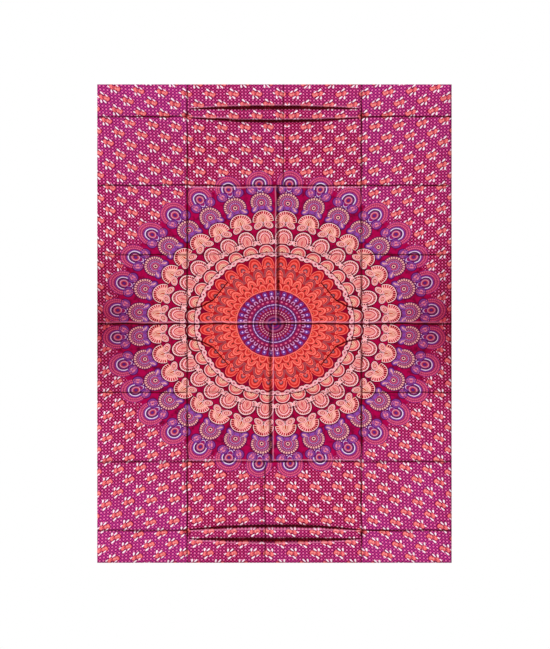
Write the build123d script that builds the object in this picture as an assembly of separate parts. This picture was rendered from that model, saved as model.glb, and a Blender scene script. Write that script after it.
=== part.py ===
from build123d import *
import os

# Tapestry wall hanging: one printed cotton cloth, hemmed on all four sides and
# hung flat against a wall from its top hem. It folds up on its centre crease.
#
# Frame, in millimetres: +X is to the right as seen from the front, +Y points
# into the wall and +Z is up. The origin is on the back of the top hem, midway
# along the hem and halfway up it, so the wall is the plane y = 0.

# ---- driving dimensions ----
CLOTH_WIDTH = 1400.0
CLOTH_HEIGHT = 1890.0
CLOTH_THICKNESS = 0.35
HEM_WIDTH = 12.0
HEM_LAYERS = 2            # layers turned in behind the face of the cloth
STITCH_INSET = 2.0        # from a hem's inner edge to its line of stitches
THREAD_WIDTH = 0.40
THREAD_THICKNESS = 0.15
GROOVE_CLEARANCE = 0.05   # on each side of a thread that is pulled into a hem
FOLD_GAP = 0.4            # between the two halves, along the centre crease

# ---- places worked out from them ----
HALF_WIDTH = CLOTH_WIDTH / 2
TOP_Z = HEM_WIDTH / 2
BOTTOM_Z = TOP_Z - CLOTH_HEIGHT
CREASE_Z = (TOP_Z + BOTTOM_Z) / 2
UPPER_END_Z = CREASE_Z + FOLD_GAP / 2
LOWER_END_Z = CREASE_Z - FOLD_GAP / 2
HEM_FRONT_Y = -HEM_LAYERS * CLOTH_THICKNESS
FACE_Y = HEM_FRONT_Y - CLOTH_THICKNESS
TOP_HEM_LOW_Z = TOP_Z - HEM_WIDTH
BOTTOM_HEM_HIGH_Z = BOTTOM_Z + HEM_WIDTH
HEM_INNER_X = HALF_WIDTH - HEM_WIDTH

# The depths, from front to back, of each thin layer.
FACE_LAYER = (FACE_Y, HEM_FRONT_Y)
HEM_LAYER = (HEM_FRONT_Y, 0.0)
NEEDLE_THREAD_LAYER = (FACE_Y - THREAD_THICKNESS, FACE_Y)
BOBBIN_THREAD_LAYER = (-THREAD_THICKNESS, 0.0)


def slab(x_span, y_span, z_span):
    """A box that fills the given spans, each a low and a high coordinate."""
    spans = (x_span, y_span, z_span)
    sizes = [high - low for low, high in spans]
    middles = [(high + low) / 2 for low, high in spans]
    return Pos(*middles) * Box(*sizes)


def across(middle, width):
    """The span of the given width about a middle."""
    return (middle - width / 2, middle + width / 2)


def hem_with_threads(x_span, z_span, line_x=None, line_z=None):
    """A hem and its lockstitch: the needle thread on the cloth's face and the
    bobbin thread, which lies in a groove that it pulls into the hem's back.
    An upright hem gives line_x and a level one line_z."""
    groove_width = THREAD_WIDTH + 2 * GROOVE_CLEARANCE
    if line_x is None:
        thread_spans = (x_span, across(line_z, THREAD_WIDTH))
        groove_spans = (x_span, across(line_z, groove_width))
    else:
        thread_spans = (across(line_x, THREAD_WIDTH), z_span)
        groove_spans = (across(line_x, groove_width), z_span)
    hem = slab(x_span, HEM_LAYER, z_span)
    hem -= slab(groove_spans[0], BOBBIN_THREAD_LAYER, groove_spans[1])
    needle_thread = slab(thread_spans[0], NEEDLE_THREAD_LAYER, thread_spans[1])
    bobbin_thread = slab(thread_spans[0], BOBBIN_THREAD_LAYER, thread_spans[1])
    return hem, needle_thread, bobbin_thread


def add_hem(nodes, name, **hem_places):
    """Adds a hem and its two threads to the nodes."""
    hem, needle_thread, bobbin_thread = hem_with_threads(**hem_places)
    nodes[f"{name}_hem"] = hem
    nodes[f"{name}_needle_thread"] = needle_thread
    nodes[f"{name}_bobbin_thread"] = bobbin_thread


nodes = {}

# ---- the face of the cloth, in two halves that meet at the centre crease ----
full_width = (-HALF_WIDTH, HALF_WIDTH)
nodes["upper_cloth"] = slab(full_width, FACE_LAYER, (UPPER_END_Z, TOP_Z))
nodes["lower_cloth"] = slab(full_width, FACE_LAYER, (BOTTOM_Z, LOWER_END_Z))

# ---- the level hems run the full width ----
add_hem(nodes, "top", x_span=full_width, z_span=(TOP_HEM_LOW_Z, TOP_Z),
        line_z=TOP_HEM_LOW_Z + STITCH_INSET)
add_hem(nodes, "bottom", x_span=full_width, z_span=(BOTTOM_Z, BOTTOM_HEM_HIGH_Z),
        line_z=BOTTOM_HEM_HIGH_Z - STITCH_INSET)

# ---- the side hems fit between them, and part at the centre crease ----
side_spans = {
    "upper": (UPPER_END_Z, TOP_HEM_LOW_Z),
    "lower": (BOTTOM_HEM_HIGH_Z, LOWER_END_Z),
}
for half, z_span in side_spans.items():
    add_hem(nodes, f"left_{half}", x_span=(-HALF_WIDTH, -HEM_INNER_X), z_span=z_span,
            line_x=-HEM_INNER_X - STITCH_INSET)
    add_hem(nodes, f"right_{half}", x_span=(HEM_INNER_X, HALF_WIDTH), z_span=z_span,
            line_x=HEM_INNER_X + STITCH_INSET)

os.makedirs("parts", exist_ok=True)
for name, solid in nodes.items():
    solid.label = name
    export_step(solid, f"parts/{name}.step")
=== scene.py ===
import math

import bpy
import numpy as np
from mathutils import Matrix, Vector


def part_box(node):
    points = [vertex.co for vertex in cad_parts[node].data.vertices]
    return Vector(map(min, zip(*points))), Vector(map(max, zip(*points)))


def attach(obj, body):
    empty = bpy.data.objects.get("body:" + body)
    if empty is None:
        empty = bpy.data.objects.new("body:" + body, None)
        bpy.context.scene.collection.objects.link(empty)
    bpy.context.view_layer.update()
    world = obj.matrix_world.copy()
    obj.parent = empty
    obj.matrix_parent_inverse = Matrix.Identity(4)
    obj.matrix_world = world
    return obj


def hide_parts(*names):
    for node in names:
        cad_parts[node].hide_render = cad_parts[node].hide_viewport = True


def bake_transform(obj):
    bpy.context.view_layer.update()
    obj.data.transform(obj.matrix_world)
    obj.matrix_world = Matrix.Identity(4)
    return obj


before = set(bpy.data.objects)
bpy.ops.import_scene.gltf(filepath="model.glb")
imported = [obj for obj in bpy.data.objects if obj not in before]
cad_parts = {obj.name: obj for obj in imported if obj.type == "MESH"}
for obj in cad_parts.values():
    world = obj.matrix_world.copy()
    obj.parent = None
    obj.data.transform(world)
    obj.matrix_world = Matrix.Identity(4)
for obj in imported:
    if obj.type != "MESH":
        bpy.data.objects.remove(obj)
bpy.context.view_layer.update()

# A printed cotton tapestry that hangs flat on a wall. Lengths are in metres,
# except in the print, whose design is drawn in millimetres from the cloth's centre.

# ---- places from the CAD model ----
upper_low, upper_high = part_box("upper_cloth")
lower_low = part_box("lower_cloth")[0]
hem_low, hem_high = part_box("top_hem")

WIDTH = upper_high.x - upper_low.x
HEIGHT = upper_high.z - lower_low.z
HALF_WIDTH = WIDTH / 2
HALF_HEIGHT = HEIGHT / 2
CENTRE_Z = (upper_high.z + lower_low.z) / 2
FACE_Y = upper_low.y
THICKNESS = upper_high.y - upper_low.y
HEM_WIDTH = hem_high.z - hem_low.z

# ---- folds left from packing, measured from the cloth's centre ----
FOLD_PITCH = 0.272
SIDE_CREASE_X = 0.343
LEVEL_CREASES = (FOLD_PITCH, 2 * FOLD_PITCH, 3 * FOLD_PITCH)
MIDDLE_CREASE_X = 0.015   # in the middle of the cloth
END_CREASE_X = 0.036      # near its top and bottom
FOLD_STEPS = (-0.0080, -0.0055, -0.0035, -0.0018, 0.0, 0.0018, 0.0035, 0.0055, 0.0080)
TUCK_HALF = 0.337         # half the width of the tuck near each end of the cloth
TUCK_UPPER = 0.851        # height of a tuck's upper line, and how far it bows up
TUCK_UPPER_BOW = 0.012
TUCK_LOWER = 0.816        # height of a tuck's lower line, and how far it bows down
TUCK_LOWER_BOW = 0.009
# A slanting wrinkle's points: how far out from the middle, and how high.
WRINKLE = ((0.345, 0.058), (0.286, 0.070), (0.243, 0.093), (0.183, 0.164))
BEND_HALF = 0.008         # how far the bend reaches on each side of the fold joint

# ---- how far the cloth stands off the wall, and the depth of its folds ----
STAND_OFF = 0.0046
BILLOW = 0.0012
RIPPLE = 0.0004
PANEL_SWELL = 0.0011
SIDE_CREASE_DEPTH = 0.0032
MIDDLE_CREASE_DEPTH = 0.0036
LEVEL_CREASE_DEPTH = 0.0028
WRINKLE_DEPTH = 0.0032
EDGE_EASE = 0.035         # over which the cloth comes back to the wall at its hems
WALL_GAP = 0.00001

# ---- the cloth's mesh: its pitch, and where it is closer (start, end, pitch) ----
MESH_PITCH = 0.012
WRINKLED_COLUMNS = ((-0.338, -0.178, 0.007), (0.178, 0.338, 0.007))
TUCKED_ROWS = (0.788, 0.880, 0.0028)
WRINKLED_ROWS = (0.056, 0.172, 0.006)

# ---- fabric and stitching ----
YARN = 0.55               # millimetres from one yarn to the next
STITCH_PITCH = 0.003
STITCH_LENGTH = 0.0026
STITCH_SIDES = 6
STITCH_SWAY = 0.00004     # how unevenly the stitches are set
STITCH_PULL = 0.00006     # how far each draws in the hem
# One stitch from end to end: how far along it, its girth, and its rise off the cloth.
STITCH_STATIONS = (
    (-1, 0.35, -0.5), (-0.8, 0.8, 0), (-0.3, 1, 0.25), (0.3, 1, 0.25), (0.8, 0.8, 0), (1, 0.35, -0.5))
HEM_ROUND = 0.0003

# ---- how the picture is taken ----
VIEW_DISTANCE = 6.0
VIEW_HEIGHT = 2.5636      # how much height the camera sees at the cloth
VIEW_OFFSET = (0.0022, -0.0036)
SUN_STRENGTH = 2.85
SUN_HEADING = (0.62, 0.80, -0.55)
ROOM_STRENGTH = 0.45
FLOOR_Z = -2.6
FLOOR_CORNERS = ((-2.5, -3), (2.5, -3), (2.5, 1.7), (-2.5, 1.7))

PLAN = "cloth_plan"       # the UV map that holds each point's place on the flat cloth
REVERSE = "reverse"       # 1 on faces that show the cloth's reverse


# ==== Drawing with shader nodes ====

class Number:
    """A number that varies over the cloth. Arithmetic on it adds math nodes."""

    def __init__(self, socket):
        self.tree = socket.id_data
        self.socket = socket

    def __add__(self, other):
        return calc("ADD", self, other)

    def __sub__(self, other):
        return calc("SUBTRACT", self, other)

    def __rsub__(self, other):
        return calc("SUBTRACT", other, self)

    def __mul__(self, other):
        return calc("MULTIPLY", self, other)

    def __abs__(self):
        return calc("ABSOLUTE", self)

    def __lt__(self, other):
        return calc("LESS_THAN", self, other)

    def __gt__(self, other):
        return calc("GREATER_THAN", self, other)


def feed(slot, value):
    """Gives a node's input a Number, a socket's value, or a plain value."""
    source = value.socket if isinstance(value, Number) else value
    if isinstance(source, bpy.types.NodeSocket):
        slot.id_data.links.new(source, slot)
    else:
        slot.default_value = source


def calc(operation, *values, clamp=False):
    """The result of a math node. At least one of the values is a Number."""
    tree = next(value.tree for value in values if isinstance(value, Number))
    node = tree.nodes.new("ShaderNodeMath")
    node.operation = operation
    node.use_clamp = clamp
    for slot, value in zip(node.inputs, values):
        feed(slot, value)
    return Number(node.outputs[0])


def scaled(value, factor, offset, clamp=False):
    """value * factor + offset, in one node. clamp keeps it between 0 and 1."""
    return calc("MULTIPLY_ADD", value, factor, offset, clamp=clamp)


def length(u, v):
    return calc("SQRT", calc("MULTIPLY_ADD", v, v, u * u))


def near(value, middle, reach):
    """1 where value is within reach of middle, else 0."""
    return calc("COMPARE", value, middle, reach)


def either(one, other):
    return calc("MAXIMUM", one, other)


def beats(value, spacing, width):
    """1 on marks of that width, centred on each multiple of spacing."""
    return calc("PINGPONG", value, spacing / 2) < width / 2


def turned(x, y, centre, radii, turn):
    """x and y from centre, along axes turned by turn degrees, as shares of radii."""
    cos = math.cos(math.radians(turn))
    sin = math.sin(math.radians(turn))
    along = centre[0] * cos + centre[1] * sin
    across = centre[1] * cos - centre[0] * sin
    u = scaled(x, cos / radii[0], -along / radii[0])
    v = scaled(y, cos / radii[1], -across / radii[1])
    if turn:
        u = scaled(y, sin / radii[0], u)
        v = scaled(x, -sin / radii[1], v)
    return u, v


def oval(x, y, centre, radii, turn=0):
    """The level of an oval: 0 at its centre and 1 at its edge."""
    return length(*turned(x, y, centre, radii, turn))


def leaf(x, y, centre, radii, turn=0):
    """The level of a leaf with a point at each end: 1 at its edge."""
    u, v = turned(x, y, centre, radii, turn)
    return calc("MULTIPLY_ADD", u, u, abs(v))


def paint(ground, mask, colour):
    """ground with colour laid over it where mask is 1. Both are colours or sockets."""
    node = mask.tree.nodes.new("ShaderNodeMix")
    node.data_type = "RGBA"
    feed(node.inputs[0], mask)
    feed(node.inputs[6], ground)
    feed(node.inputs[7], colour)
    return node.outputs[2]


def rings(level, *bands):
    """Rings of colour, each (outer level, colour), from the middle out."""
    node = level.tree.nodes.new("ShaderNodeValToRGB")
    feed(node.inputs[0], level)
    ramp = node.color_ramp
    ramp.interpolation = "CONSTANT"
    ramp.elements.remove(ramp.elements[1])
    ramp.elements[0].position = 0
    ramp.elements[0].color = bands[0][1]
    for (start, _), (_, colour) in zip(bands, bands[1:]):
        ramp.elements.new(start).color = colour
    return node.outputs[0]


def parts(kind, whole):
    """The three Numbers of a colour or a place, split by a node of that kind."""
    node = whole.id_data.nodes.new(kind)
    feed(node.inputs[0], whole)
    return [Number(socket) for socket in node.outputs]


def noise(place, scale, detail=2.0, roughness=0.5):
    """Three Numbers of smooth noise about 0.5, from a place in metres."""
    node = place.id_data.nodes.new("ShaderNodeTexNoise")
    feed(node.inputs["Vector"], place)
    feed(node.inputs["Scale"], scale)
    feed(node.inputs["Detail"], detail)
    feed(node.inputs["Roughness"], roughness)
    return parts("ShaderNodeSeparateColor", node.outputs["Color"])


def ink(red, green, blue):
    """A colour from its sRGB values, 0 to 255."""
    parts = [value / 255 for value in (red, green, blue)]
    return (*[p / 12.92 if p <= 0.04045 else ((p + 0.055) / 1.055) ** 2.4 for p in parts], 1.0)


# ==== The print: rings of fans on a dotted field of small blossoms ====

WINE = ink(84, 0, 24)
DEEP_WINE = ink(60, 0, 22)
CRIMSON = ink(170, 0, 62)
DEEP_CRIMSON = ink(152, 0, 40)
BRIGHT_CRIMSON = ink(174, 0, 74)
FIELD_VIOLET = ink(166, 40, 138)
DOT_PINK = ink(240, 112, 168)
DULL_PINK = ink(204, 50, 114)
DROP_WHITE = ink(255, 232, 244)
BLOSSOM = ink(252, 126, 130)
BLOSSOM_RED = ink(200, 34, 60)
PETAL_LIGHT = ink(255, 166, 156)
PETAL_EDGE = ink(246, 110, 128)
LILAC = ink(150, 84, 160)
VIOLET = ink(92, 28, 112)
PLUM = ink(126, 16, 80)
NAVY = ink(40, 8, 60)
LILAC_WHITE = ink(232, 204, 232)
ROSE = ink(214, 84, 118)
PINK_WHITE = ink(255, 206, 210)
CORAL = ink(230, 68, 62)
LIGHT_CORAL = ink(255, 118, 106)
BRICK = ink(186, 34, 32)
OLIVE = ink(104, 44, 40)
MAUVE = ink(160, 92, 116)

MOTIFS = 32               # fans in each ring
SQUASH = 0.891            # the mandala's height as a share of its width
MANDALA_EDGE = 646.0      # where the dotted field begins


class Ring:
    """Where a point lies in the mandala: its radius, and its place across a motif."""

    def __init__(self, x, y):
        tall = abs(y) * (1 / SQUASH)
        wide = abs(x)
        self.radius = length(wide, tall)
        turn = calc("ARCTAN2", wide, tall) * (MOTIFS / (2 * math.pi))
        self.side = calc("FRACT", turn) - 0.5      # from -0.5 to 0.5
        self.away = abs(self.side)


class Fan:
    """A point as seen from the middle of the base of its fan, in millimetres:
    x to either side and y outwards. level is 1 on the fan's round edge."""

    def __init__(self, ring, base, share, height):
        sector = 2 * math.pi * base / MOTIFS
        self.half_width = share * sector / 2
        self.x = ring.away * sector
        self.y = ring.radius - base
        u = self.x * (1 / self.half_width)
        v = self.y * (1 / height)
        self.level = length(u, v)
        self.turn = calc("ARCTAN2", u, v) * (1 / math.pi)    # 0 up the middle
        self.above = self.y > 0
        self.inside = (self.level < 1) * self.above

    def spokes(self, count, width):
        """1 on spokes that cross the fan, count of them in its half circle."""
        return beats(self.turn, 1 / count, width / count)


def lilac_outer_row(colour, ring):
    """Broad rosy haloes round a white horseshoe, over two lilac lobes."""
    fan = Fan(ring, base=621, share=0.86, height=62)
    lobe = oval(fan.x, fan.y, (34, -25), (21, 20))
    colour = paint(colour, lobe < 1.13, ink(100, 6, 70))
    colour = paint(colour, lobe < 1, rings(
        lobe, (0.25, ink(150, 30, 110)), (0.6, LILAC), (0.7, PLUM), (0.9, ink(134, 66, 152)),
        (1, VIOLET)))
    for comma in (((39, -27), (9, 3.4), 65), ((28, -21), (7, 2.6), 50)):
        colour = paint(colour, leaf(fan.x, fan.y, *comma) < 1, ink(240, 140, 160))
    throat = oval(fan.x, fan.y, (0, -18), (15, 22))
    colour = paint(colour, throat < 1, rings(
        throat, (0.6, ink(150, 22, 96)), (0.8, LILAC), (1, VIOLET)))
    squiggle = near(scaled(fan.x, -0.8, fan.y), -33, 1.5) * (fan.x < 8)
    bead = oval(fan.x, fan.y, (10, -38), (2.8, 2.8)) < 1
    colour = paint(colour, either(squiggle, bead), LILAC_WHITE)
    colour = paint(colour, (fan.level < 1) * (fan.y > -4), rings(
        fan.level, (0.62, ink(186, 46, 104)), (0.66, ink(112, 20, 88)), (0.78, ink(200, 66, 112)),
        (0.82, ink(120, 18, 82)), (0.95, ink(196, 52, 110)), (1, ink(122, 40, 116))))
    colour = paint(colour, fan.spokes(17, 0.4) * near(fan.level, 0.72, 0.05), ink(222, 110, 140))
    colour = paint(colour, fan.spokes(21, 0.45) * near(fan.level, 0.88, 0.05), ink(224, 104, 134))
    arch = oval(fan.x, fan.y, (0, 1), (27, 30))
    colour = paint(colour, (arch < 1.18) * (fan.y > -8), ink(112, 44, 140))
    colour = paint(colour, (arch < 1) * (fan.y > -7), rings(
        arch, (0.7, ink(140, 40, 110)), (0.84, NAVY), (1, LILAC_WHITE)))
    egg = oval(fan.x, fan.y, (0, 0), (15.5, 18))
    return paint(colour, egg < 1, rings(
        egg, (0.3, ink(96, 40, 130)), (0.48, ink(120, 20, 84)), (0.74, ink(196, 66, 96)),
        (0.93, ink(232, 150, 170)), (1, VIOLET)))


def lilac_inner_row(colour, ring):
    """Lilac fans with a rim of pale beads round a small dark eye."""
    fan = Fan(ring, base=529, share=0.84, height=52)
    lobe = oval(fan.x, fan.y, (29, -20), (18, 14), -38)
    colour = paint(colour, (lobe < 1.17) * (fan.x > 0), ink(100, 6, 70))
    colour = paint(colour, (lobe < 1) * (fan.x > 0), rings(
        lobe, (0.7, LILAC), (0.85, ink(128, 60, 150)), (1, VIOLET)))
    for comma in (((32, -22), (9, 3.2), -30), ((26, -13), (8, 2.2), -28)):
        colour = paint(colour, leaf(fan.x, fan.y, *comma) < 1, ink(238, 166, 166))
    body = oval(fan.x, fan.y, (0, -12), (17, 19))
    colour = paint(colour, body < 1, rings(
        body, (0.6, ink(140, 74, 164)), (0.75, PLUM), (0.9, LILAC), (1, VIOLET)))
    eye = oval(fan.x, fan.y, (0, 5), (43, 46))
    colour = paint(colour, (eye < 1.06) * (fan.y > -9), ink(92, 4, 62))
    shown = (eye < 1) * (fan.y > -9)
    colour = paint(colour, shown, rings(
        eye, (0.09, NAVY), (0.19, ink(242, 170, 166)), (0.27, ink(84, 14, 92)), (0.36, ROSE),
        (0.42, ink(96, 20, 104)), (0.5, LILAC), (0.56, ink(72, 8, 84)), (0.64, ink(196, 92, 136)),
        (0.72, ink(120, 14, 84)), (0.97, PLUM), (1, ink(104, 40, 120))))
    spin = calc("ARCTAN2", fan.x, fan.y - 5) * (1 / math.pi)
    beads = beats(spin, 1 / 13, 0.60 / 13) * near(eye, 0.87, 0.095)
    specks = beats(spin + 0.5 / 13, 1 / 13, 0.40 / 13) * near(eye, 0.69, 0.04)
    colour = paint(colour, beads * (fan.y > -9), ink(244, 184, 172))
    colour = paint(colour, specks * (fan.y > -5), ink(206, 140, 176))
    scallops = beats(spin, 1 / 9, 0.5 / 9) * near(eye, 0.46, 0.05)
    return paint(colour, scallops * shown, ink(216, 150, 190))


def pink_outer_row(colour, ring):
    """Tall pink fans with a rim of red strokes, on two long leaves."""
    fan = Fan(ring, base=456, share=0.93, height=44.5)
    leaf_level = oval(fan.x, fan.y, (20.5, -17), (21.5, 13.5), -30)
    neck = scaled(fan.y, 2.8, fan.half_width)
    dome = (fan.level < 1) * fan.above
    under = (fan.x < neck) * near(fan.y, -7, 7)
    colour = paint(colour, (fan.level < 1.08) * (fan.y > -2), WINE)
    colour = paint(colour, under, ink(250, 176, 150))
    heavy = ring.side > 0
    rim = paint(ink(255, 190, 190), heavy, ink(248, 130, 132))
    colour = paint(colour, dome, rings(
        fan.level, (0.5, ink(252, 186, 170)), (0.66, ink(254, 176, 168)),
        (0.93, ink(252, 150, 150)), (1, PINK_WHITE)))
    colour = paint(colour, dome * near(fan.level, 0.80, 0.13), rim)
    stroke = fan.spokes(13, 0.62) * near(fan.level, 0.80, 0.14)
    colour = paint(colour, stroke * dome, paint(ink(190, 0, 34), heavy, ink(132, 0, 22)))
    flame = leaf(fan.y, fan.x, (4, 0), (28, 17))
    colour = paint(colour, flame < 1, rings(
        flame, (0.2, ink(206, 84, 78)), (0.36, ink(252, 206, 178)), (0.52, ink(196, 60, 66)),
        (0.72, ink(252, 196, 176)), (0.86, ink(200, 84, 84)), (1, ink(254, 196, 184))))
    colour = paint(colour, leaf(fan.y, fan.x, (0, 0), (7, 2.6)) < 1, ink(196, 60, 44))
    colour = paint(colour, (leaf_level < 1.16) * (fan.y < -4), WINE)
    colour = paint(colour, (leaf_level < 1) * (fan.y < -3), rings(
        leaf_level, (0.14, ink(190, 50, 60)), (0.32, ink(252, 190, 172)), (0.52, ink(180, 34, 58)),
        (0.74, ink(253, 182, 178)), (0.84, ink(206, 60, 84)), (1, PINK_WHITE)))
    knot = oval(fan.x, fan.y, (0, -14), (2.6, 3.4)) < 1
    return paint(colour, knot, DEEP_WINE)


def pink_middle_row(colour, ring):
    """Pink fans with a rim of small dark marks round a pointed arch."""
    fan = Fan(ring, base=378, share=0.90, height=42.5)
    lobe = oval(fan.x, fan.y, (25, -13), (13, 12.5), -30)
    colour = paint(colour, (lobe < 1.14) * (fan.y < 0), WINE)
    colour = paint(colour, (lobe < 1) * (fan.y < -1), rings(
        lobe, (0.22, ink(120, 30, 50)), (0.62, ink(250, 178, 176)), (0.72, ink(232, 110, 124)),
        (1, PINK_WHITE)))
    body = near(fan.y, -10, 11) * (fan.x < 14)
    colour = paint(colour, body, ink(250, 170, 166))
    colour = paint(colour, (fan.level < 1.1) * (fan.y > -3), WINE)
    colour = paint(colour, fan.inside, rings(
        fan.level, (0.56, ink(244, 130, 130)), (0.65, PINK_WHITE), (0.73, ink(214, 76, 96)),
        (0.9, ink(246, 146, 142)), (1, PINK_WHITE)))
    marks = fan.spokes(13, 0.56) * near(fan.level, 0.81, 0.08)
    colour = paint(colour, marks, ink(96, 8, 22))
    arch = leaf(fan.y, fan.x, (-4, 0), (29, 19))
    return paint(colour, (arch < 1) * (fan.y > -18), rings(
        arch, (0.3, ink(220, 104, 106)), (0.44, ink(252, 180, 168)), (0.54, ink(196, 60, 80)),
        (0.8, ink(252, 170, 160)), (1, ink(176, 30, 62))))


def pink_inner_row(colour, ring):
    """Low pink fans with a red arc, over a frill of white-edged lobes."""
    fan = Fan(ring, base=319, share=0.93, height=32)
    lobe = oval(fan.x, fan.y, (18.5, -11.5), (13.5, 9.5), -24)
    colour = paint(colour, (lobe < 1.2) * (fan.y < 0), WINE)
    colour = paint(colour, near(fan.y, -7, 7) * (fan.x < 8), ink(250, 170, 170))
    colour = paint(colour, (lobe < 1) * (fan.y < -1), rings(
        lobe, (0.3, ink(130, 20, 66)), (0.62, ink(250, 176, 180)), (0.72, ink(224, 100, 130)),
        (1, PINK_WHITE)))
    colour = paint(colour, (fan.level < 1.12) * (fan.y > -3), WINE)
    return paint(colour, fan.inside, rings(
        fan.level, (0.16, ink(176, 60, 66)), (0.3, ink(244, 186, 160)), (0.38, ink(190, 120, 96)),
        (0.54, ink(246, 182, 160)), (0.61, ink(214, 84, 92)), (0.72, ink(250, 150, 142)),
        (0.83, ink(190, 8, 48)), (0.93, ink(248, 140, 142)), (1, PINK_WHITE)))


def coral_rows(colour, ring):
    """Four rings of small overlapping coral scales, and the thin ring inside them."""
    colour = paint(colour, ring.radius < 262, ink(184, 26, 34))
    fan = Fan(ring, base=256, share=0.93, height=40)
    lobe = oval(fan.x, fan.y, (14, -6), (9, 6), -25)
    colour = paint(colour, lobe < 1, rings(lobe, (0.6, CORAL), (1, LIGHT_CORAL)))
    colour = paint(colour, fan.inside, rings(
        fan.level, (0.18, ink(232, 110, 100)), (0.3, MAUVE), (0.4, OLIVE), (0.56, CORAL),
        (0.63, LIGHT_CORAL), (0.78, ink(222, 54, 52)), (0.86, BRICK), (0.93, CORAL),
        (1, LIGHT_CORAL)))
    fan = Fan(ring, base=207, share=0.99, height=42)
    colour = paint(colour, fan.inside, rings(
        fan.level, (0.2, OLIVE), (0.42, LIGHT_CORAL), (0.5, ink(190, 30, 36)), (0.62, CORAL),
        (0.7, LIGHT_CORAL), (0.79, ink(100, 26, 46)), (0.89, ink(206, 84, 88)),
        (0.95, ink(96, 24, 48)), (1, ink(186, 96, 108))))
    fan = Fan(ring, base=178, share=0.96, height=34)
    colour = paint(colour, (fan.level < 1.1) * fan.above, ink(170, 16, 26))
    colour = paint(colour, fan.inside, rings(
        fan.level, (0.5, CORAL), (0.6, LIGHT_CORAL), (0.74, ink(214, 56, 50)), (1, LIGHT_CORAL)))
    colour = paint(colour, leaf(fan.y, fan.x, (9, 0), (7, 3)) < 1, OLIVE)
    fan = Fan(ring, base=150, share=0.96, height=30)
    colour = paint(colour, (fan.level < 1.1) * fan.above, ink(170, 16, 26))
    colour = paint(colour, fan.inside, rings(
        fan.level, (0.24, OLIVE), (0.46, ink(240, 92, 74)), (0.58, ink(176, 40, 36)),
        (0.8, CORAL), (1, LIGHT_CORAL)))
    return paint(colour, ring.radius < 153, LIGHT_CORAL)


def purple_disc(colour, ring):
    """The middle of the mandala: a wine disc with circles of lilac beads and dashes."""
    colour = paint(colour, ring.radius < 149, rings(
        ring.radius * (1 / 149), (0.05, DEEP_CRIMSON), (0.1, VIOLET), (0.14, ink(150, 30, 90)),
        (0.19, ink(90, 26, 92)), (0.24, ink(160, 70, 110)), (0.3, ink(120, 6, 56)), (0.4, PLUM),
        (0.5, ink(136, 12, 62)), (0.6, ink(92, 30, 96)), (0.7, ink(140, 20, 76)),
        (0.86, ink(120, 16, 72)), (1, ink(136, 8, 66))))
    halo = oval(ring.away * 26.5, ring.radius, (0, 134), (9.5, 12))
    colour = paint(colour, halo < 1, rings(halo, (0.66, ink(88, 44, 140)), (1, ink(128, 56, 132))))
    bead = oval(ring.away * 26.5, ring.radius, (0, 133), (3.6, 4))
    colour = paint(colour, bead < 1, ink(226, 184, 238))
    petal = oval(ring.away * 23, ring.radius, (0, 113), (8, 11))
    arc = (petal < 1) * (petal > 0.55) * (ring.radius > 109)
    colour = paint(colour, arc, ink(214, 150, 200))
    dashes = ((99, 3.2, 0.2, ink(228, 110, 150)), (83.5, 1.9, 0.42, ink(214, 176, 226)),
              (70, 4.2, 0.24, LILAC), (57, 2.8, 0.22, ink(238, 150, 170)),
              (47, 2.2, 0.24, ink(224, 160, 170)))
    for radius, reach, share, colour_of_dash in dashes:
        dash = near(ring.radius, radius, reach) * (ring.away < share)
        colour = paint(colour, dash, colour_of_dash)
    return colour


# The line each half of the field is mirrored about, then the parts of one blossom,
# each a centre, two radii and a turn in degrees.
FIELD_MIDDLE = 50
BLOSSOM_BODY = (
    ((-11.5, 0), (11.4, 8.4), 10), ((-13.5, -6.5), (6.4, 5.2), -24), ((-4.5, -2), (6.2, 6), 0),
    ((12.6, 5.4), (7.4, 5.6), -32), ((11.2, -2), (7.6, 5), 36), ((3.4, 1.6), (5, 3.6), 0))
BLOSSOM_PETALS = (
    ((5.5, 16.5), (9, 3.5), 220), ((-10.5, 9.3), (7, 2.6), 40), ((22, 1), (6, 3.1), 215),
    ((12.5, -14.3), (7.2, 3.8), 84), ((-1.5, -14.2), (8.8, 3.2), 45))


def field_place(x, y):
    """Places in the field, measured out from its middle. The upper and lower
    halves are printed the other way round, each mirrored about its own line, and
    the cloth was stretched towards the corners, so the rows rise there."""
    to_right = x * calc("SIGN", y)
    wide = abs(to_right - FIELD_MIDDLE) - FIELD_MIDDLE
    tall = abs(y)
    spread = calc("POWER", calc("MAXIMUM", scaled(abs(x), 1 / 400, -0.8), 0), 1.4)
    lean = calc("POWER", calc("MAXIMUM", scaled(tall, 1 / 470, -1), 0), 2)
    return scaled(lean * wide, -0.045, wide), scaled(spread, -34, tall)


def grown(x, y, shapes, outline):
    """How far each place lies outside the nearest of the shapes, in millimetres."""
    nearest = None
    for centre, radii, turn in shapes:
        outside = (outline(x, y, centre, radii, turn) - 1) * min(radii)
        nearest = outside if nearest is None else calc("MINIMUM", nearest, outside)
    return nearest


def teardrop(x, y, centre, radii, turn):
    """The level of an oval that is blunt at one end and narrow at the other."""
    u, v = turned(x, y, centre, radii, turn)
    return length(u, v * scaled(u, 0.4, 1.05))


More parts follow.
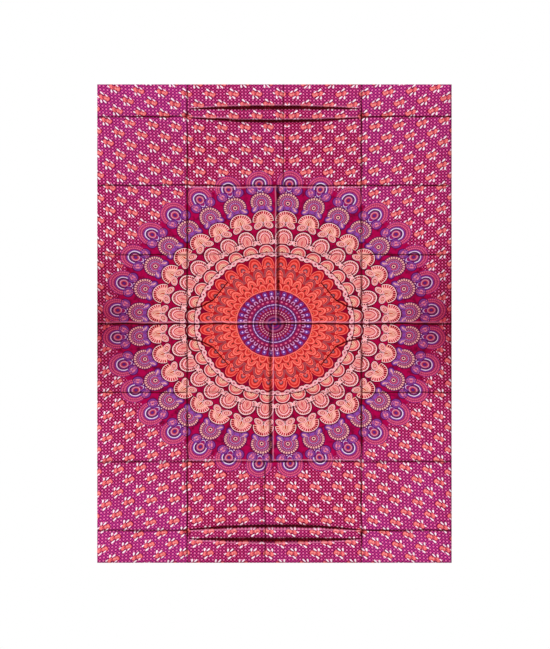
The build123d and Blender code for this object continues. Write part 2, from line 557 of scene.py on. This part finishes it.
def blossoms(colour, wide, tall):
    """Small coral blossoms with white petals, in staggered rows."""
    pitch_x, pitch_y = 89.4, 87.7
    first_x, first_y = 68.7, 30.0       # where the first blossom of a row stands
    near_x = calc("FRACT", scaled(wide, 1 / pitch_x, 0.5 - first_x / pitch_x)) - 0.5
    near_y = calc("FRACT", scaled(tall, 1 / pitch_y, 0.5 - first_y / pitch_y)) - 0.5
    outside = (abs(near_x) + abs(near_y)) > 0.5
    px = (near_x - outside * calc("SIGN", near_x) * 0.5) * pitch_x
    py = (near_y - outside * calc("SIGN", near_y) * 0.5) * pitch_y
    body = grown(px, py, BLOSSOM_BODY, oval)
    petals = grown(px, py, BLOSSOM_PETALS, teardrop)
    colour = paint(colour, either(body < 2, petals < 0.9), ink(112, 0, 36))
    colour = paint(colour, body < 0, rings(
        body * -0.125, (0.1, PETAL_EDGE), (0.18, BLOSSOM_RED), (0.5, BLOSSOM), (1, PETAL_LIGHT)))
    vein_x = abs(px) - 11.5
    vein_y = py - 1
    direction = calc("ARCTAN2", vein_y, vein_x)
    veins = beats(direction, math.pi / 7, 0.12) * near(length(vein_x, vein_y), 5, 2.2)
    colour = paint(colour, veins * (body < -1.5), BLOSSOM_RED)
    throat = oval(px, py, (-11, 2), (4.8, 2.6), 14)
    colour = paint(colour, throat < 1, rings(
        throat, (0.3, PETAL_LIGHT), (0.66, BLOSSOM_RED), (1, ink(150, 6, 44))))
    heart = oval(px, py, (2.6, -1.6), (2.6, 4.6), -28)
    colour = paint(colour, heart < 1, rings(heart, (0.4, BLOSSOM), (1, ink(150, 6, 44))))
    return paint(colour, petals < 0, rings(
        petals * -0.25, (0.14, ink(250, 176, 206)), (0.4, DROP_WHITE), (1, ink(255, 246, 252))))


def dotted_field(tint, x, wide, tall):
    """Magenta ground, more violet at the top and bottom, under a dark slanting
    trellis. Its diamonds hold pink dots, bright and dull by turns."""
    dot_x, dot_y = 13.75, 12.6
    rise = scaled(tall, 1.5 / 945, scaled(abs(x) > 343, 0.6, -1))
    violet = scaled(tint - 0.5, 1.4, rise, clamp=True)
    colour = paint(ink(162, 0, 70), violet, FIELD_VIOLET)
    gaps = paint(ink(100, 0, 38), violet, ink(122, 12, 80))
    column = calc("PINGPONG", wide, dot_x / 2)
    row = calc("PINGPONG", tall, dot_y / 2)
    slant = scaled(column, 2 / dot_x, row * (2 / dot_y))
    colour = paint(colour, near(slant, 1, 0.2), gaps)
    between = length(dot_x / 2 - column, dot_y / 2 - row)
    colour = paint(colour, between < 2.6, DULL_PINK)
    return paint(colour, length(column, row) < 3.5, DOT_PINK)


def draw_print(plan, across, up):
    """The print's colour at each point, as a socket. plan is the place on the flat
    cloth, and across and up are its parts, in metres."""
    wobble = noise(plan, scale=45, detail=5, roughness=0.6)
    drift = noise(plan, scale=5, detail=1)
    x = scaled(across, 1000, wobble[0] * 3 - 1.5)
    y = scaled(up, 1000, wobble[1] * 3 - 1.5)
    x = x + scaled(drift[0], 12, -6)
    y = y + scaled(drift[1], 12, -6)
    ring = Ring(x, y)
    wide, tall = field_place(x, y)
    colour = dotted_field(drift[2], x, wide, tall)
    inside = ring.radius < scaled(calc("COSINE", ring.side * (2 * math.pi)), 14, MANDALA_EDGE)
    colour = paint(colour, inside, BRIGHT_CRIMSON)
    colour = paint(colour, ring.radius < 500, CRIMSON)
    colour = paint(colour, ring.radius < 360, DEEP_CRIMSON)
    mottled = scaled(wobble[2], 5, -2.35, clamp=True)
    colour = paint(colour, mottled * inside, ink(104, 0, 44))
    blossomed = blossoms(colour, wide, tall)
    colour = paint(colour, ring.radius > 652, blossomed)
    for draw_row in (lilac_outer_row, lilac_inner_row, pink_outer_row, pink_middle_row,
                     pink_inner_row, coral_rows, purple_disc):
        colour = draw_row(colour, ring)
    return colour


# ==== Materials ====

def follow(value, path):
    """The height of a path, in millimetres, above each place along it. The path's
    own places and heights are in metres."""
    ramp = value.tree.nodes.new("ShaderNodeValToRGB")
    feed(ramp.inputs[0], value * 0.001)
    marks = ramp.color_ramp.elements
    points = sorted(path)
    for mark, (place, height) in zip(marks, (points[0], points[-1])):
        mark.position = place
        mark.color = (height, height, height, 1)
    for place, height in points[1:-1]:
        marks.new(place).color = (height, height, height, 1)
    return parts("ShaderNodeSeparateColor", ramp.outputs[0])[0] * 1000


def soft_line(value, middle, reach):
    """1 on nearly the inner half of a line, fading to 0 at its edges."""
    share = calc("DIVIDE", abs(value - middle), reach)
    return scaled(share, -1.8, 1.8, clamp=True)


def shade(colour, amount, tint):
    """colour multiplied by tint, as far as amount says."""
    shaded = paint(colour, amount, tint)
    shaded.node.blend_type = "MULTIPLY"
    return shaded


# Where the painted fold shade and highlights lie, in millimetres from the cloth's centre.
SIDE_LINE = 343
LEVEL_LINES = (272, 545, 817)
TUCK_REACH = 336


def fold_shade_and_highlight(x, y, strength):
    """How much painted shade lies along the folds and the slanting wrinkle, and how much painted
    highlight beside them.
    """
    wide = abs(x)
    tall = abs(y)
    side = wide > SIDE_LINE
    centre_part = tall < LEVEL_LINES[1]
    across = x * calc("SIGN", y)
    middle_line = scaled(centre_part, -21, 36)
    # dark is painted shade along each fold's line and the slanting wrinkle.
    dark = soft_line(across, middle_line, scaled(centre_part * strength, 6.5, 3))
    dark = either(dark, soft_line(wide, SIDE_LINE + 1, scaled(centre_part, 1.5, 4)))
    dark = either(dark, soft_line(tall, LEVEL_LINES[0], 3.4) * scaled(side, 0.6, 0.4))
    dark = either(dark, soft_line(tall, LEVEL_LINES[1], 4.6))
    dark = either(dark, soft_line(tall, LEVEL_LINES[2], 4.8) * side) * strength
    wrinkle = tall - follow(wide, WRINKLE)
    dark = either(dark, soft_line(wrinkle, 0, 5) * near(wide, 264, 81))
    dark = either(dark, soft_line(y, -1, 4.6))
    # pale is a painted highlight on the lit side of the folds.
    pale = soft_line(across, middle_line - 10, 3) * centre_part
    pale = either(pale, soft_line(tall, LEVEL_LINES[1] - 7, 3.4) * (wide < SIDE_LINE))
    return dark, either(pale, soft_line(y, 6, 4))


def tuck_shade_and_light(wide, tall):
    """Painted shade in a tuck's two hollows, a painted highlight on their edges, and the painted
    shadow below it.
    """
    bow = scaled(wide * wide, -1 / (TUCK_REACH + 1) ** 2, 1)
    in_tuck = wide < TUCK_REACH
    upper = scaled(bow, -12, tall)
    lower = scaled(bow, 9, tall)
    hollow = soft_line(scaled(bow, 7, upper), 848, scaled(bow, 9, 3))
    pinch = soft_line(scaled(bow, 5, lower), 813, scaled(bow, 6.5, 3))
    lit_edge = either(soft_line(upper, 853, 3), soft_line(lower, 818, 3)) * in_tuck
    below = scaled(lower, 1 / 26, 1 - 816 / 26) * (lower < 812) * in_tuck
    return either(hollow, pinch) * in_tuck, lit_edge, calc("MULTIPLY", below, bow, clamp=True)


def fold_shade_and_dark_patch(wide, tall):
    """How dim the cloth is: painted shade at the tucks' ends and at the ends of its centre fold, and
    darker in the wider patch round those."""
    # knot is painted shade where a side crease meets a tuck.
    knot = scaled(oval(wide, tall, (SIDE_LINE, 826), (17, 21), 20), -1.2, 1.2, clamp=True)
    ends = scaled(wide, 1 / 150, -560 / 150)
    # Painted shade at the side ends of the centre fold.
    fold_end_shade = calc("MULTIPLY", ends, scaled(tall, -1 / 90, 1), clamp=True) * (tall < 90)
    # Darker in a wider patch towards the side edges, about the middle of the height.
    darker_patch = scaled(wide, 1 / 240, -450 / 240) * scaled(tall, -1 / 340, 1) * (tall < 340)
    return either(knot, either(fold_end_shade * 0.6, (wide > 450) * darker_patch * 0.85))


def paint_fold_light_and_shade(colour, x, y, drift, strength):
    """colour with painted shade in the folds and tucks, painted highlights beside them, the painted
    shadow below the tucks and dim places.
    """
    x = x + drift[0]
    y = y + drift[1]
    dark, pale = fold_shade_and_highlight(x, y, strength)
    tuck, lit_edge, shadow = tuck_shade_and_light(abs(x), abs(y))
    dim = either(shadow * 0.7, fold_shade_and_dark_patch(abs(x), abs(y)))
    # Painted highlight beside the folds and on the tucks' edges.
    colour = paint(colour, either(pale * 0.34, lit_edge * 0.3), ink(255, 176, 206))
    # Painted shadow below the tucks, painted shade at the crease ends, and a darker patch.
    colour = shade(colour, dim, (0.42, 0.05, 0.16, 1))
    # Painted shade along the folds and in the tucks' hollows.
    return shade(colour, either(dark, tuck), (0.15, 0.0, 0.02, 1))


def new_material(name):
    material = bpy.data.materials.new(name)
    material.use_nodes = True
    tree = material.node_tree
    shader = tree.nodes["Principled BSDF"]
    return material, tree, shader


def add_bump(shader, height, strength, distance):
    bump = height.tree.nodes.new("ShaderNodeBump")
    bump.inputs["Strength"].default_value = strength
    bump.inputs["Distance"].default_value = distance
    feed(bump.inputs["Height"], height)
    feed(shader.inputs["Normal"], bump.outputs[0])


def yarn_tone(across):
    """A different number, 0 to 1, for each yarn that lies side by side."""
    node = across.tree.nodes.new("ShaderNodeTexWhiteNoise")
    node.noise_dimensions = "1D"
    feed(node.inputs["W"], calc("FLOOR", across * (1 / YARN)))
    return Number(node.outputs["Value"])


def printed_cotton(name):
    """Plain-weave cotton. The print shows through, paler, on the cloth's reverse."""
    material, tree, shader = new_material(name)
    unwrapped = tree.nodes.new("ShaderNodeUVMap")
    unwrapped.uv_map = PLAN
    plan = unwrapped.outputs[0]
    across, up, _ = parts("ShaderNodeSeparateXYZ", plan)
    x = across * 1000
    y = up * 1000
    colour = draw_print(plan, across, up)
    sag = noise(plan, scale=9, detail=5)
    strength = scaled(sag[2], 1.6, 0.0)
    strength = calc("MINIMUM", calc("MAXIMUM", strength, 0.45), 0.95)
    # The folds and tucks get painted shade and highlights, of uneven strength along them.
    colour = paint_fold_light_and_shade(colour, x, y, [scaled(part, 10, -5) for part in sag[:2]], strength)
    cloud = noise(plan, scale=70, detail=6, roughness=0.7)
    uneven = scaled(cloud[0], 3.2, -1.45, clamp=True)
    colour = shade(colour, uneven * 0.75, (0.66, 0.4, 0.5, 1))
    yarns = yarn_tone(x) + yarn_tone(y)
    colour = shade(colour, yarns * 0.12, (0.5, 0.4, 0.45, 1))
    reverse = tree.nodes.new("ShaderNodeAttribute")
    reverse.attribute_name = REVERSE
    bleached = Number(reverse.outputs["Fac"]) * 0.44
    colour = paint(colour, bleached, ink(236, 156, 190))
    feed(shader.inputs["Base Color"], colour)
    shader.inputs["Specular IOR Level"].default_value = 0.03
    shader.inputs["Sheen Weight"].default_value = 0.02
    shader.inputs["Sheen Roughness"].default_value = 0.6
    weave = calc("PINGPONG", x, YARN / 2) * calc("PINGPONG", y, YARN / 2)
    slub = cloud[1] + cloud[2]
    feed(shader.inputs["Roughness"], scaled(slub, 0.25, 0.55))
    height = scaled(weave, 6, slub * 0.5)
    add_bump(shader, height, strength=0.35, distance=0.0006)
    return material


def sewing_thread(name):
    """Twisted thread with fine slanting ridges, a little uneven in its dye."""
    material, tree, shader = new_material(name)
    place = tree.nodes.new("ShaderNodeTexCoord")
    twist = tree.nodes.new("ShaderNodeTexWave")
    twist.bands_direction = "DIAGONAL"
    twist.inputs["Scale"].default_value = 900
    feed(twist.inputs["Vector"], place.outputs["Object"])
    dye = noise(place.outputs["Object"], scale=40)
    colour = paint(ink(150, 10, 74), dye[0], ink(196, 40, 110))
    feed(shader.inputs["Base Color"], colour)
    ridge = Number(twist.outputs["Fac"])
    feed(shader.inputs["Roughness"], scaled(ridge, 0.2, 0.35))
    add_bump(shader, ridge, strength=0.5, distance=0.00005)
    return material


# ==== The cloth, hung flat with its packing folds still in it ====

def smooth(value):
    """0 to 1 as value goes from 0 to 1, easing in and out."""
    value = np.clip(value, 0, 1)
    return value * value * (3 - 2 * value)


def notch(distance, reach):
    """1 at the bottom of a sharp fold, falling to 0 at its reach."""
    return np.clip(1 - np.abs(distance) / reach, 0, 1)


def wrinkle_height(u):
    """How high above the cloth's middle the slanting wrinkles run, at each place across."""
    places, heights = zip(*sorted(WRINKLE))
    return np.interp(np.abs(u), places, heights)


def centre_fold_x(w):
    """The upright middle fold steps aside across the centre and near the ends."""
    aside = np.where(np.abs(w) < 2 * FOLD_PITCH, MIDDLE_CREASE_X, END_CREASE_X)
    return np.sign(w) * aside


def tuck_lines(u):
    """A tuck's bow from end to end, and its upper and lower lines."""
    bow = np.clip(1 - (u / TUCK_HALF) ** 2, 0, 1)
    return bow, TUCK_UPPER + TUCK_UPPER_BOW * bow, TUCK_LOWER - TUCK_LOWER_BOW * bow


def lift(u, w):
    """How far each point of the flat cloth stands off the wall, and how far it
    slips down where a tuck hangs over itself."""
    tall = np.abs(w)
    wide = np.abs(u)
    billow = np.sin(5.1 * u + 1.3 * np.sin(3.1 * w) + 0.6) * np.cos(4.3 * w + 1.9 * u)
    ripple = np.sin(17 * u + 9 * w + 2 * np.sin(6 * w)) * np.cos(13 * w - 4 * u)
    off = STAND_OFF + BILLOW * billow + RIPPLE * ripple
    panel_x = np.sin(np.pi * np.clip(wide / SIDE_CREASE_X, 0, 1))
    panel_w = np.abs(np.sin(np.pi * w / FOLD_PITCH))
    off += PANEL_SWELL * panel_x * panel_w
    off -= SIDE_CREASE_DEPTH * notch(wide - SIDE_CREASE_X, 0.0055)
    off -= MIDDLE_CREASE_DEPTH * notch(u - centre_fold_x(w), 0.008)
    off += 0.0010 * notch(u - centre_fold_x(w) * 1.9, 0.010)
    for level in LEVEL_CREASES[:2]:
        off -= LEVEL_CREASE_DEPTH * notch(tall - level, 0.0055)
        off += 0.0008 * notch(tall - level + 0.011, 0.007)
    off -= LEVEL_CREASE_DEPTH * notch(tall - LEVEL_CREASES[2], 0.005) * (wide > SIDE_CREASE_X)
    bow, upper, lower = tuck_lines(u)
    hood = bow * smooth((tall - upper + 0.001) / 0.002) * smooth(1 - (tall - upper) / 0.05)
    hollow = bow * smooth((upper - tall) / 0.003) * smooth((tall - upper + 0.030) / 0.014)
    roll = bow * smooth((tall - lower) / 0.004) * smooth((upper - 0.006 - tall) / 0.018)
    pinch = bow * smooth((lower - tall + 0.001) / 0.002) * smooth(1 - (lower - tall) / 0.022)
    off += 0.0024 * hood - 0.0042 * hollow + 0.0034 * roll - 0.0040 * pinch
    slip = 0.0035 * bow * notch(tall - lower - 0.003, 0.006)
    slip += 0.0030 * bow * notch(tall - upper - 0.002, 0.006)
    crease = (tall - wrinkle_height(u)) * np.where(wide < 0.243, 0.64, 0.9)
    depth = smooth((wide - 0.180) / 0.03) * smooth((SIDE_CREASE_X + 0.004 - wide) / 0.03)
    off += 0.0014 * depth * np.exp(-((crease - 0.011) / 0.008) ** 2)
    off -= WRINKLE_DEPTH * depth * notch(crease, 0.006)
    to_edge = np.minimum(HALF_WIDTH - HEM_WIDTH - wide, HALF_HEIGHT - HEM_WIDTH - tall)
    off = np.minimum(off, 0.0006 + 0.075 * np.maximum(tall - BEND_HALF, 0))
    off *= smooth(to_edge / EDGE_EASE)
    return np.maximum(off, 0), slip


def grid_lines(half, pitch, folds, bands):
    """Places for the mesh's lines: an even pitch, close together at folds and bands."""
    special = [fold + step for fold in folds for step in FOLD_STEPS]
    for start, end, close in bands:
        special += list(np.arange(start, end, close))
    special = sorted(s for s in special if abs(s) < half - 0.001)
    lines = [-half, half]
    for place in special + list(np.linspace(-half, half, round(2 * half / pitch) + 1)):
        room = 0.0008 if place in special else 0.45 * pitch
        if min(abs(place - line) for line in lines) > room:
            lines.append(place)
    return np.array(sorted(lines))


def grid_faces(index, slant):
    """Quads over a grid of point numbers. Each is split along its falling diagonal
    where slant is true, so that its two triangles follow the slanting wrinkles."""
    rising = [index[:-1, :-1], index[:-1, 1:], index[1:, 1:], index[1:, :-1]]
    falling = rising[1:] + rising[:1]
    quads = [np.where(slant, other, one) for one, other in zip(rising, falling)]
    return np.stack(quads, axis=-1).reshape(-1, 4)


def new_mesh(name, points, faces, material, plan=None):
    """A mesh object; plan gives each point's place on the flat cloth."""
    mesh = bpy.data.meshes.new(name)
    mesh.from_pydata(points.tolist(), [], [list(face) for face in faces])
    mesh.materials.append(material)
    if plan is not None:
        corners = np.zeros(len(mesh.loops), dtype=np.int32)
        mesh.loops.foreach_get("vertex_index", corners)
        mesh.uv_layers.new(name=PLAN).data.foreach_set("uv", plan[corners].ravel())
    mesh.update()
    piece = bpy.data.objects.new(name, mesh)
    bpy.context.scene.collection.objects.link(piece)
    return piece


def shade_smooth(piece, flat=slice(0)):
    """Smooth shading on a piece, apart from the faces that flat picks."""
    is_smooth = np.ones(len(piece.data.polygons), dtype=bool)
    is_smooth[flat] = False
    piece.data.polygons.foreach_set("use_smooth", is_smooth)


def cloth_grid():
    """Where the mesh's points lie on the flat cloth, closer together at its folds.
    In each column, the point nearest to a slanting wrinkle moves onto it."""
    creases = [side * x for side in (-1, 1) for x in (MIDDLE_CREASE_X, END_CREASE_X, SIDE_CREASE_X)]
    columns = grid_lines(HALF_WIDTH, MESH_PITCH, creases, WRINKLED_COLUMNS)
    levels = [side * z for side in (-1, 1) for z in LEVEL_CREASES]
    bands = [(-BEND_HALF, BEND_HALF + 0.001, 0.001)]
    for side in (-1, 1):
        for start, end, close in (TUCKED_ROWS, WRINKLED_ROWS):
            first, last = sorted((side * start, side * end))
            bands.append((first, last, close))
    rows = grid_lines(HALF_HEIGHT, MESH_PITCH, levels, bands)
    u, w = np.meshgrid(columns, rows)
    inside = (np.abs(columns) > WRINKLE[-1][0]) & (np.abs(columns) < WRINKLE[0][0])
    for side in (-1, 1):
        target = side * wrinkle_height(columns)
        nearest = np.abs(rows[:, None] - target[None, :]).argmin(axis=0)
        for column in np.flatnonzero(inside):
            w[nearest[column], column] = target[column]
    return u, w


def cloth_back(front):
    """The cloth's back, one thickness behind a grid of points on its face, and
    kept clear of the wall. At the edges it is straight behind them."""
    along = np.gradient(front, axis=1)
    up = np.gradient(front, axis=0)
    normal = np.cross(along, up)
    normal /= np.linalg.norm(normal, axis=-1, keepdims=True)
    normal[..., 1] = np.minimum(normal[..., 1], -0.4)
    normal /= np.linalg.norm(normal, axis=-1, keepdims=True)
    back = front - normal * THICKNESS
    edge = np.zeros(front.shape[:2], dtype=bool)
    edge[0, :] = edge[-1, :] = edge[:, 0] = edge[:, -1] = True
    back[edge] = front[edge] + np.array([0, THICKNESS, 0])
    back[..., 1] = np.minimum(back[..., 1], -WALL_GAP)
    return back


def build_cloth(material):
    """The sheet as a closed mesh, as thin as the cloth, with its face towards -Y."""
    u, w = cloth_grid()
    off, slip = lift(u, w)
    front = np.stack([u, FACE_Y - off, CENTRE_Z + w - slip], axis=-1)
    back = cloth_back(front)
    points = np.concatenate([front.reshape(-1, 3), back.reshape(-1, 3)])
    count = u.size
    index = np.arange(count).reshape(u.shape)
    front_faces = grid_faces(index, (u * w > 0)[:-1, :-1])
    faces = list(front_faces) + list(front_faces[:, [0, 3, 2, 1]] + count)
    border = np.concatenate([index[0, :-1], index[:-1, -1], index[-1, :0:-1], index[:0:-1, 0]])
    after = np.roll(border, -1)
    rim = np.stack([after, border, border + count, after + count], axis=-1)
    plan = np.stack([u.ravel(), w.ravel()], axis=-1)
    cloth = new_mesh("printed_cloth", points, faces + list(rim), material, np.tile(plan, (2, 1)))
    shade_smooth(cloth, flat=slice(len(faces), None))
    reverse = cloth.data.attributes.new(REVERSE, "FLOAT", "FACE")
    shown_back = np.zeros(len(cloth.data.polygons), dtype=np.float32)
    shown_back[len(faces) // 2:] = 1
    reverse.data.foreach_set("value", shown_back)
    return cloth


# ==== Hems and stitching ====

def strip_shape(low, high):
    """Whether a long box is upright, then its length, width, thickness and middle."""
    size = high - low
    upright = size.z > size.x
    run, width = (size.z, size.x) if upright else (size.x, size.z)
    return upright, run, width, size.y, (low + high) / 2


def build_hem(name, low, high, material):
    """A strip of the cloth turned twice to the back. Its long edges are rounded
    folds, and it is drawn in a little at each stitch."""
    upright, run, width, thickness, middle = strip_shape(low, high)
    outline = []
    for corner_a, corner_y, first in ((1, 1, 0), (-1, 1, 90), (-1, -1, 180), (1, -1, 270)):
        for turn in (0, 30, 60, 90):
            angle = math.radians(first + turn)
            a = corner_a * (width / 2 - HEM_ROUND) + HEM_ROUND * math.cos(angle)
            y = corner_y * (thickness / 2 - HEM_ROUND) + HEM_ROUND * math.sin(angle)
            outline.append((a, y))
        if corner_y == 1 and corner_a == 1:
            outline += [(width * share, thickness / 2) for share in (0.3, 0.1, -0.1, -0.3)]
    count = round(run / (STITCH_PITCH / 2))
    steps = np.linspace(-run / 2, run / 2, count + 1)
    outline = np.array(outline)
    points = []
    for number, step in enumerate(steps):
        ring = outline.copy()
        drawn = STITCH_PULL if number % 2 else 0.0
        ring[:, 1] -= np.where(ring[:, 1] > thickness * 0.49, drawn, 0)
        a = ring[:, 0]
        along = np.full(len(ring), step)
        x, z = (a, along) if upright else (along, a)
        points.append(np.stack([x + middle.x, ring[:, 1] + middle.y, z + middle.z], axis=-1))
    rows = len(steps)
    around = len(outline)
    points = np.concatenate(points)
    index = np.arange(rows * around).reshape(rows, around)
    beside = np.roll(index, -1, axis=1)
    faces = np.stack([index[:-1], beside[:-1], beside[1:], index[1:]], axis=-1).reshape(-1, 4)
    ends = [list(index[0, ::-1]), list(index[-1])]
    if not upright:
        faces = faces[:, ::-1]
        ends = [end[::-1] for end in ends]
    # The strip was folded over the cloth's edge, so its print runs on beyond it.
    plan = np.stack([points[:, 0], points[:, 2] - CENTRE_Z], axis=-1)
    side = 0 if upright else 1
    edge = (HALF_WIDTH if upright else HALF_HEIGHT) * np.sign(plan[0, side])
    plan[:, side] = 2 * edge - plan[:, side]
    hem = new_mesh(name, points, list(faces) + ends, material, plan)
    shade_smooth(hem, flat=slice(-2, None))
    return hem


def build_stitches(name, low, high, material, rng):
    """A row of lockstitch: short flat threads that dip into the cloth at both ends."""
    upright, run, width, thickness, middle = strip_shape(low, high)
    outward = -1 if (low.y + high.y) / 2 < FACE_Y + THICKNESS / 2 else 1
    inner_y = high.y if outward < 0 else low.y
    count = int(run / STITCH_PITCH)
    spots = (np.arange(count) + 0.5) * run / count - run / 2
    points = []
    faces = []
    for spot in spots:
        start = len(points)
        sway = rng.normal(0, STITCH_SWAY)
        for along, girth, rise in STITCH_STATIONS:
            for side in range(STITCH_SIDES):
                angle = 2 * math.pi * side / STITCH_SIDES
                a = sway + girth * width / 2 * math.cos(angle)
                t = spot + along * STITCH_LENGTH / 2
                out = thickness * (0.4 + 0.5 * rise + 0.4 * girth * math.sin(angle))
                y = inner_y + outward * out
                points.append((a, y, t) if upright else (t, y, a))
        for ring in range(len(STITCH_STATIONS) - 1):
            for side in range(STITCH_SIDES):
                one = start + ring * STITCH_SIDES + side
                two = start + ring * STITCH_SIDES + (side + 1) % STITCH_SIDES
                faces.append((one, two, two + STITCH_SIDES, one + STITCH_SIDES))
        faces.append(list(range(start, start + STITCH_SIDES))[::-1])
        faces.append(list(range(len(points) - STITCH_SIDES, len(points))))
    if upright == (outward < 0):
        faces = [list(face)[::-1] for face in faces]
    points = np.array(points) + np.array([middle.x, 0, middle.z])
    row = new_mesh(name, points, faces, material)
    shade_smooth(row)
    return row


def joined_box(*nodes):
    """The box round several CAD nodes."""
    boxes = [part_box(node) for node in nodes]
    low = Vector([min(box[0][axis] for box in boxes) for axis in range(3)])
    high = Vector([max(box[1][axis] for box in boxes) for axis in range(3)])
    return low, high


def follow_fold(piece):
    """Bakes the piece's place into its mesh."""
    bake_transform(piece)


# ==== Light, camera and floor ====

def set_stage():
    """Soft daylight from the upper left and in front, in a plain pale room."""
    sun = bpy.data.lights.new("key_light", "SUN")
    sun.energy = SUN_STRENGTH
    sun.angle = math.radians(14)
    key = bpy.data.objects.new("key_light", sun)
    key.rotation_euler = Vector(SUN_HEADING).to_track_quat("-Z", "Y").to_euler()
    bpy.context.scene.collection.objects.link(key)
    world = bpy.data.worlds.new("pale_room")
    world.use_nodes = True
    nodes = world.node_tree.nodes
    room = nodes["Background"]
    room.inputs["Color"].default_value = (1, 1, 1, 1)
    room.inputs["Strength"].default_value = ROOM_STRENGTH
    white = nodes.new("ShaderNodeBackground")
    white.inputs["Color"].default_value = (1, 1, 1, 1)
    seen = nodes.new("ShaderNodeLightPath")
    choose = nodes.new("ShaderNodeMixShader")
    feed(choose.inputs[0], seen.outputs["Is Camera Ray"])
    feed(choose.inputs[1], room.outputs[0])
    feed(choose.inputs[2], white.outputs[0])
    feed(nodes["World Output"].inputs["Surface"], choose.outputs[0])
    bpy.context.scene.world = world
    floor_points = np.array([(x, y, FLOOR_Z) for x, y in FLOOR_CORNERS])
    pale, _, shader = new_material("pale_floor")
    shader.inputs["Base Color"].default_value = (0.82, 0.81, 0.80, 1)
    shader.inputs["Roughness"].default_value = 0.7
    new_mesh("floor", floor_points, [(0, 1, 2, 3)], pale)


def set_camera():
    """Square on to the face of the cloth, level with its centre."""
    lens = bpy.data.cameras.new("camera")
    lens.sensor_width = 36
    lens.lens = 36 * VIEW_DISTANCE / VIEW_HEIGHT
    camera = bpy.data.objects.new("camera", lens)
    camera.location = (VIEW_OFFSET[0], FACE_Y - VIEW_DISTANCE, CENTRE_Z + VIEW_OFFSET[1])
    camera.rotation_euler = (math.pi / 2, 0, 0)
    bpy.context.scene.collection.objects.link(camera)
    bpy.context.scene.camera = camera


# ==== The whole object ====

cotton = printed_cotton("printed_cotton")
hem_cotton = cotton.copy()
hem_cotton.name = "hem_cotton"
thread = sewing_thread("sewing_thread")
rng = np.random.default_rng(7)

cloth = build_cloth(cotton)
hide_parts("upper_cloth", "lower_cloth")
follow_fold(cloth)

SEAMS = {
    "top": ("top",),
    "bottom": ("bottom",),
    "left": ("left_upper", "left_lower"),
    "right": ("right_upper", "right_lower"),
}
BODIES = {"top": "upper_half", "bottom": "lower_half"}
for seam, places in SEAMS.items():
    hems = [f"{place}_hem" for place in places]
    needles = [f"{place}_needle_thread" for place in places]
    bobbins = [f"{place}_bobbin_thread" for place in places]
    strip = build_hem(f"{seam}_hem_turn", *joined_box(*hems), hem_cotton)
    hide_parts(*hems)
    front = build_stitches(f"{seam}_needle_stitches", *joined_box(*needles), thread, rng)
    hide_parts(*needles)
    back = build_stitches(f"{seam}_bobbin_stitches", *joined_box(*bobbins), thread, rng)
    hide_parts(*bobbins)
    for piece in (strip, front, back):
        if seam in BODIES:
            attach(piece, BODIES[seam])
        else:
            follow_fold(piece)

set_stage()
set_camera()
bpy.context.scene.view_settings.view_transform = "Standard"
